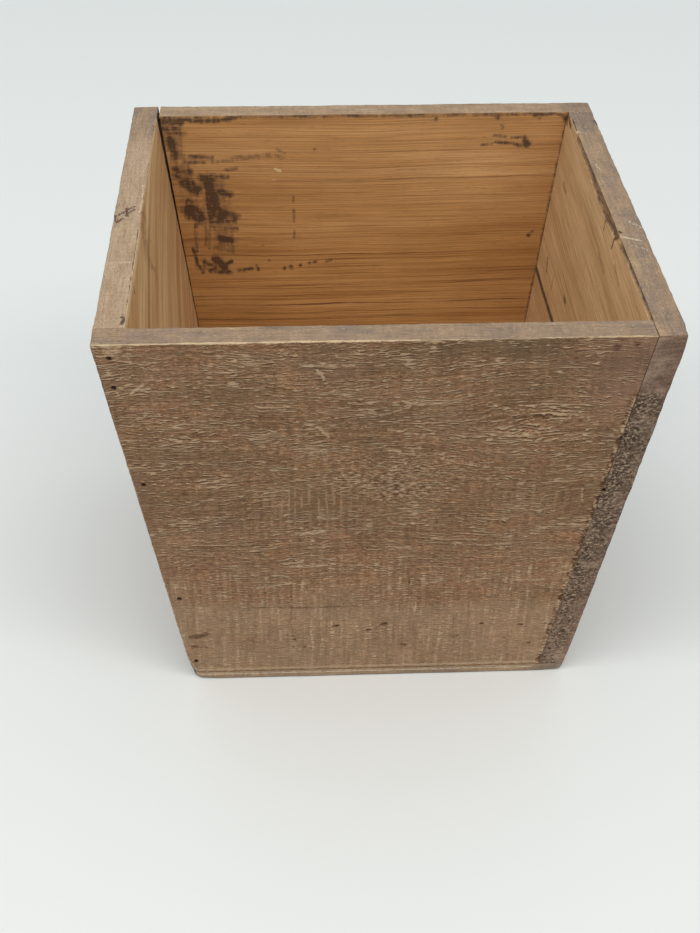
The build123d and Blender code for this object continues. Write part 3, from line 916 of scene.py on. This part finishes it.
def planed_wood():
    """Planed inside faces, gone honey coloured, with thin growth lines along the grain."""
    s = Shader("planed_wood", "inner_fibre")
    dark, pale, wash, tone = s.marks()
    lines = s.noise((120, 1, 3), 3, 0.65)
    fine = s.noise((30, 0.5, 1.5), 2, 0.6)
    bands = s.noise((160, 9, 12))
    cloud = s.noise((24, 12, 12))
    pores = s.noise((4, 0.35, 1), 1)
    strands = s.noise((60, 1.1, 3), 3, 0.65)
    broad = s.about(bands, 0.5, 0.4)
    honey = s.sum(broad, s.about(lines, 0, 0.32))
    straw = s.sum(broad, s.about(strands, 0, 0.65))
    s.colour = s.ramp(honey, (0.2, 154, 104, 54), (0.5, 178, 128, 74), (0.8, 193, 145, 92))
    s.mix(tone, s.ramp(straw, (0.2, 168, 128, 84), (0.5, 192, 151, 107), (0.8, 210, 174, 130)))
    s.cover(wash, 234, 206, 156)
    s.brighten(s.sum(s.about(fine, 1.01, 0.4), s.about(cloud, 0, 0.12)))

    # Growth lines wander with the grain and come and go
    ring = s.node("SeparateXYZ", {0: s.place}).outputs[1]
    wander = s.about(s.noise((38, 6, 9)), 0, 1.4)
    growth = s.step(lines, 0.41, 0.35, 0, 0.38)
    for height, half, strength in GROWTH_LINES:
        gap = s.math("ABSOLUTE", s.math("SUBTRACT", s.sum(ring, wander), height))
        growth = s.most(growth, s.step(gap, half, 0.1, 0, 1.1 * strength))
    broken = s.step(s.noise((34, 2.4, 5)), 0.36, 0.6, 0.25, 1)
    s.cover(s.times(s.times(growth, broken), s.about(tone, 0.7, -0.3)), 96, 58, 28)
    s.cover(s.step(pores, 0.35, 0.27, 0, 0.35), 96, 60, 33)

    # Stains soak in along the grain: a faint edge round a dark middle
    smear = s.noise((5, 1.3, 2), 3, 0.6)
    brush = s.noise((1.8, 6, 2), 2, 0.6)
    pale = s.sum(pale, s.about(smear, 0, 0.7))
    s.cover(s.step(pale, 0.5, 0.85, 0, 0.6), 228, 204, 164)
    brushed = s.times(s.about(brush, 0, 0.6), s.math("MULTIPLY_ADD", tone, -0.85, 1))
    stain = s.sum(dark, s.about(smear, 0, 0.55), brushed)
    stain = s.times(stain, s.step(dark, 0.02, 0.2))
    s.cover(s.step(stain, 0.12, 0.6, 0, 0.62), 110, 80, 54)
    s.cover(s.step(stain, 0.55, 0.95, 0, 0.85), 72, 50, 33)
    return s.finish(s.sum(lines, s.times(fine, 0.6)), 0.0002, 0.6, 0.3)


def rim_wood():
    """The upper edges of the boards: grey-beige, sawn along the grain."""
    s = Shader("rim_wood", "fibre")
    dark, pale, _, tone = s.marks()
    streaks = s.noise((18, 1.2, 1.2), 3, 0.6)
    flecks = s.noise((2, 0.7, 0.7), 3, 0.65)
    cross = s.noise((1.8, 12, 12))
    clouds = s.noise((11, 6, 5))
    grey = s.sum(s.about(tone, 0.5, 0.5), s.about(clouds, 0, 0.45))
    s.colour = s.ramp(grey, (0.1, 136, 116, 100), (0.5, 159, 132, 105), (0.9, 176, 149, 122))
    s.brighten(s.sum(s.about(streaks, 1, 0.35), s.about(flecks, 0, 0.4), s.about(cross, 0, 0.2)))
    speck = s.noise((1.5, 0.8, 0.8), 2, 0.6)
    s.cover(s.step(speck, 0.38, 0.3, 0, 0.55), 88, 68, 54)
    s.cover(s.step(speck, 0.62, 0.7, 0, 0.5), 208, 186, 160)
    uneven = s.about(flecks, 0, 0.8)
    s.cover(s.step(s.sum(pale, uneven), 0.5, 0.8, 0, 0.7), 216, 196, 164)
    s.cover(s.step(s.sum(dark, uneven), 0.45, 0.8, 0, 0.85), 62, 44, 36)
    rubbed = s.step(s.times(s.attribute("worn"), s.about(flecks, 1, 1)), 0.3, 0.9)
    rubbed = s.times(rubbed, s.step(dark, 0.6, 0.3))
    s.cover(s.times(rubbed, 0.7), 228, 200, 162)
    return s.finish(s.sum(streaks, s.times(flecks, 0.8)), 0.0004, 0.8, 0.2)


def end_grain():
    """Cut ends of the boards: darker, with pores and torn bundles of fibres."""
    s = Shader("end_grain", "inner_fibre")
    dark, _, rough, tone = s.marks()
    pores = s.noise((3, 0.6, 0.7), 2, 0.6)
    clots = s.noise((3, 1.5, 1.9), 3, 0.75)
    loops = s.noise((3, 1.15, 1.6), 3, 0.75, 37)
    sheen = s.noise((9, 1.3, 6), 3, 0.6)
    clouds = s.noise((30, 12, 12))
    s.colour = s.ramp(clouds, (0.35, 104, 82, 67), (0.5, 115, 91, 75), (0.65, 136, 112, 95))
    level = s.sum(s.about(pores, 1.04, 0.75), s.about(sheen, 0, 0.8), s.times(rough, -0.12))
    s.brighten(s.sum(level, s.about(tone, 0, 0.6)))
    pits = s.times(s.step(clots, 0.5, 0.44), rough)
    s.cover(s.times(pits, 0.74), 44, 31, 23)
    tufts = s.times(s.step(loops, 0.52, 0.58), rough)
    s.cover(s.times(tufts, 0.75), 182, 158, 132)
    dark = s.sum(dark, s.about(pores, 0, 0.6))
    s.cover(s.step(dark, 0.5, 0.8, 0, 0.85), 46, 32, 25)
    s.cover(s.times(s.step(s.attribute("worn"), 0.4, 0.9), 0.3), 170, 146, 120)
    torn = s.times(s.sum(clots, s.times(loops, 0.6)), rough)
    return s.finish(s.sum(s.times(pores, 0.6), s.times(torn, 2)), 0.0008, 0.85, 0.2)


def nail_steel():
    """Old wire nails, brown with rust."""
    s = Shader("nail_steel")
    s.place = s.node("TexCoord", {}).outputs["Object"]
    rust = s.noise((MM, MM, MM), 3, 0.6)
    s.colour = s.ramp(rust, (0.35, 30, 24, 22), (0.65, 70, 50, 40))
    return s.finish(rust, 0.0001, 0.55, 0.4, 0.6)


def floor_paper():
    """A plain pale floor."""
    s = Shader("floor_paper")
    surface = s.node("BsdfPrincipled", {"Base Color": srgb(230, 230, 227), "Roughness": 0.7})
    s.node("OutputMaterial", {"Surface": surface.outputs[0]})
    return s.material


# One material for each kind of face, in the order OUTER, INNER, EDGE and END
WOOD = [sawn_wood(), planed_wood(), rim_wood(), end_grain()]


def place_board(node, mesh):
    """Show a detailed board instead of its CAD solid."""
    for material in WOOD:
        mesh.materials.append(material)
    piece = bpy.data.objects.new(node + "_dressed", mesh)
    bpy.context.scene.collection.objects.link(piece)
    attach(piece, "root")
    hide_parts(node)


def base_mesh():
    """The thin base board, with worn edges and corners, and the pits of its nails underneath."""
    length = 2 * half_width(BASE_THICKNESS)
    reach = FOOT_WIDTH / 2 - BASE_NAIL_MARGIN
    in_wall = FOOT_WIDTH / 2 - WALL_RUN / 2
    finer = [s + length / 2 for s in (-in_wall, -reach, 0.0, reach, in_wall)]
    across = grid_lines(length, 2.0, finer, COARSE_STEP)
    lattice = Lattice((across, across, grid_lines(BASE_THICKNESS, 0.8)), INNER)
    half = half_width(lattice.w)
    u = (lattice.u / length * 2 - 1) * half
    v = (lattice.v / length * 2 - 1) * half

    # Round the edges, more at the corners
    near_corner = 1 - smooth((half - np.minimum(abs(u), abs(v)) - 6) / 6)
    wear = 1 + 0.3 * noise(u / 14, v / 14, 31) + 0.2 * noise(u / 3, v / 3, 32)
    corner = np.where(v > 0, np.where(u < 0, FRONT, RIGHT), np.where(u > 0, BACK, LEFT))
    side_radius = 0.7 * wear + np.array(BASE_CORNER_ROUNDS)[corner] * near_corner
    flat_radius = BASE_ARRIS * wear + 1.2 * near_corner
    top_radius = np.full_like(u, BASE_TOP_ARRIS)
    limits = ((-half, half), (-half, half), (0.0, BASE_THICKNESS))
    radii = ((side_radius, side_radius), (side_radius, side_radius), (flat_radius, top_radius))
    (u, v, w), (face_u, face_v, face_w) = rounded((u, v, lattice.w), limits, radii)
    facing = sides_faced(face_u, face_v, face_w, 0.0)
    at_side = 1 - facing[OUTER] - facing[INNER]

    # Sink the nails and move the surface in
    flow = wavy(u, v, 33)
    ripple = smooth(0.5 + noise(u / 40, v / 40, 34))
    inward, grain, marks = surface(dict(u=u, v=v, w=w), 17, flow, flow, ripple, 0.4)
    for along in (-reach, 0, reach):
        for aside in (-in_wall, in_wall):
            sink_nail(np.hypot(u - along, v - aside), inward, marks, facing)
            sink_nail(np.hypot(u - aside, v - along), inward, marks, facing)
    side_in = 0.12 + 0.1 * noise((u + v) / 9, w / 1.2, 35)
    w = w + inward[OUTER] * facing[OUTER] - 0.02 * facing[INNER]
    u = u - side_in * face_u
    v = v - side_in * face_v

    # Paint its sides: painted contact shade along the lower edge, and a pale line, fainter at the right of
    # the front
    marks[:, TORN] = 0.3 * facing[OUTER]
    marks[:, TONE] = 0.5 + (0.3 * noise(u / 16, v / 16, 36) - 0.12) * at_side
    lay(marks, DARK, 0.6 * at_side * stripe(w, 0.2, 0.6))
    on_front = (v > 0) & (v > abs(u) - 6)
    muted = 1 - 0.7 * on_front * smooth((u - 70) / 10)
    lay(marks, PALE, 0.85 * muted * at_side * stripe(w, 3.5, 0.5, 1.4))
    layers = dict(grain, marks=marks, worn=np.zeros_like(u))
    return new_mesh("base_board", np.stack([u, -v, w], axis=1), lattice, layers)


# Heights of the lower edges of the boards, and where their nails go
foot = BASE_THICKNESS
upper_front = JOINT_HEIGHT + JOINT_GAP_FRONT
upper_back = JOINT_HEIGHT + JOINT_GAP_BACK
front_nails = corner_nails(foot, BOX_HEIGHT, FRONT_LEFT_ROW)
left_nails = corner_nails(foot, BOX_HEIGHT, BACK_LEFT_ROW)
lower_nails = corner_nails(foot, JOINT_HEIGHT, TWO_NAIL_ROW)
upper_nails = corner_nails(upper_front, BOX_HEIGHT, THREE_NAIL_ROW)
back_nails = lower_nails + corner_nails(upper_front, BOX_HEIGHT, TWO_NAIL_ROW)

# Each wall board: node, side, height of its lower edge at its left and right end, height of its
# upper edge, nails, the face that the photograph shows, spacing of its mesh lines, and its look
WALL_BOARDS = (
    ("front_board", FRONT, foot, foot, BOX_HEIGHT, front_nails, OUTER, (0.88, 0.83, 0.8), front_look),
    ("back_board", BACK, foot, foot, BOX_HEIGHT, back_nails, INNER, (0.88, 0.81, 0.8), back_look),
    ("left_board", LEFT, foot, foot, BOX_HEIGHT, left_nails, INNER, (1.0, 0.9, 0.7), left_look),
    ("right_lower_board", RIGHT, foot, foot, JOINT_HEIGHT, lower_nails, INNER, (1.0, 0.8, 0.6), right_look),
    ("right_upper_board", RIGHT, upper_front, upper_back, BOX_HEIGHT, upper_nails, INNER, (1.0, 0.8, 0.6),
     right_look),
)
for name, *board in WALL_BOARDS:
    place_board(name, wall(name, *board))
place_board("base_board", base_mesh())

steel = nail_steel()
for name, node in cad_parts.items():
    if name.endswith("_nails"):
        node.data.materials.clear()
        node.data.materials.append(steel)

# Floor
FLOOR_REACH = 4.0
floor_mesh = bpy.data.meshes.new("floor")
corners = [(x * FLOOR_REACH, y * FLOOR_REACH, 0) for x, y in ((-1, -1), (1, -1), (1, 1), (-1, 1))]
floor_mesh.from_pydata(corners, [], [(0, 1, 2, 3)])
floor_mesh.materials.append(floor_paper())
floor = bpy.data.objects.new("floor", floor_mesh)
bpy.context.scene.collection.objects.link(floor)

# A wide window high in front of the box, as a soft lamp
WINDOW_PLACE = (-0.15, -1.0, 2.0)
WINDOW_AIM = (0, 0, 0.1)
WINDOW_WIDTH = 5.0
WINDOW_HEIGHT = 0.8
WINDOW_POWER = 40.0
lamp = bpy.data.lights.new("window", "AREA")
lamp.shape = "RECTANGLE"
lamp.size = WINDOW_WIDTH
lamp.size_y = WINDOW_HEIGHT
lamp.energy = WINDOW_POWER
lamp.color = (1.0, 0.977, 0.943)
window = bpy.data.objects.new("window", lamp)
window.location = WINDOW_PLACE
window.rotation_euler = (Vector(WINDOW_AIM) - Vector(WINDOW_PLACE)).to_track_quat("-Z", "Y").to_euler()
bpy.context.scene.collection.objects.link(window)

# Sky
SKY_COLOUR = (0.89, 0.965, 1.0, 1.0)
SKY_STRENGTH = 0.73
world = bpy.data.worlds.new("sky")
world.use_nodes = True
background = world.node_tree.nodes["Background"]
background.inputs["Color"].default_value = SKY_COLOUR
background.inputs["Strength"].default_value = SKY_STRENGTH
bpy.context.scene.world = world

# Camera, turned by its yaw, pitch and roll in degrees
CAMERA_PLACE = (-0.0401, -0.6159, 0.5071)
CAMERA_TURN = (-2.7557, 35.9369, 0.4797)
CAMERA_LENS = 57.75
CAMERA_SENSOR = 36.0
camera_data = bpy.data.cameras.new("camera")
camera_data.lens = CAMERA_LENS
camera_data.sensor_width = CAMERA_SENSOR
camera = bpy.data.objects.new("camera", camera_data)
yaw, pitch, roll = (math.radians(angle) for angle in CAMERA_TURN)
camera.matrix_world = (
    Matrix.Translation(CAMERA_PLACE)
    @ Matrix.Rotation(yaw, 4, "Z")
    @ Matrix.Rotation(math.pi / 2 - pitch, 4, "X")
    @ Matrix.Rotation(roll, 4, "Z")
)
bpy.context.scene.collection.objects.link(camera)
bpy.context.scene.camera = camera
bpy.context.scene.view_settings.view_transform = "Standard"
